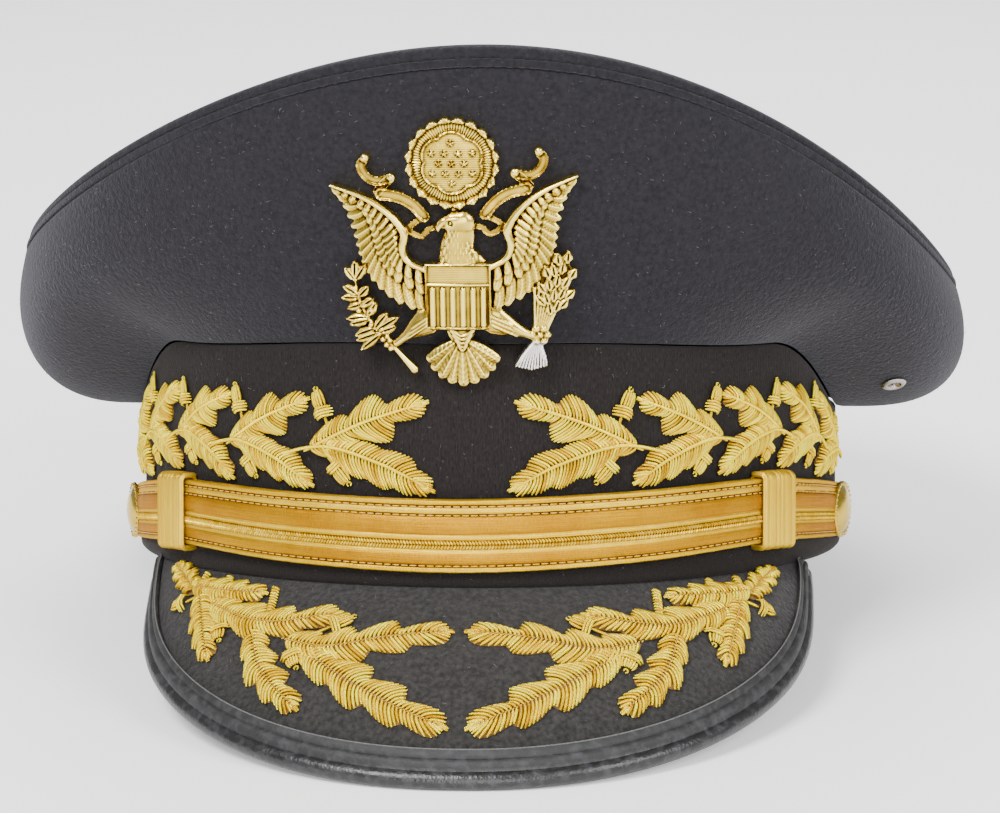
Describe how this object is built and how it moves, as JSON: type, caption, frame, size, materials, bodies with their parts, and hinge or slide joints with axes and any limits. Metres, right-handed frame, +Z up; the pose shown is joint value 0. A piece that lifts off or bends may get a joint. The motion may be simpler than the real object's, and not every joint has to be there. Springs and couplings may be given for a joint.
{
  "type": "peaked dress cap with embroidered band and visor (ordered as a forage cap)",
  "caption": "Dark wool peaked dress cap with a velvet band, gold wire oak leaves on band and visor, a gold lace chin strap, domed buttons and a pierced brass eagle badge.",
  "frame": {"origin": "bottom centre of the bounding box, on the floor that the visor's edge and the back of the band rest on", "axes": "+Z up, +Y towards the back of the cap, +X to the viewer's right when the cap is seen from the front"},
  "size_m": [0.2396, 0.2838, 0.1576],
  "materials": {
    "wool": "dark barathea wool with a faint nap",
    "velvet": "black velvet pile",
    "leather": "black patent leather over a rolled bead",
    "bullion": "gold wire embroidery",
    "lace": "woven gold lace",
    "brass": "stamped and polished gilding metal"
  },
  "bodies": {
    "root": {"hat_band": "velvet", "crown_side": "wool", "crown_welt": "wool", "crown_top": "wool", "visor": "wool", "visor_binding": "leather", "strap_inner": "lace", "strap_outer": "lace", "badge_screw": "brass", "slide_left": "lace", "button_left": "brass", "eyelet_left": "brass", "band_leaves_left": "bullion", "visor_leaves_left": "bullion", "slide_right": "lace", "button_right": "brass", "eyelet_right": "brass", "band_leaves_right": "bullion", "visor_leaves_right": "bullion", "badge": "brass"}
  },
  "joints": []
}
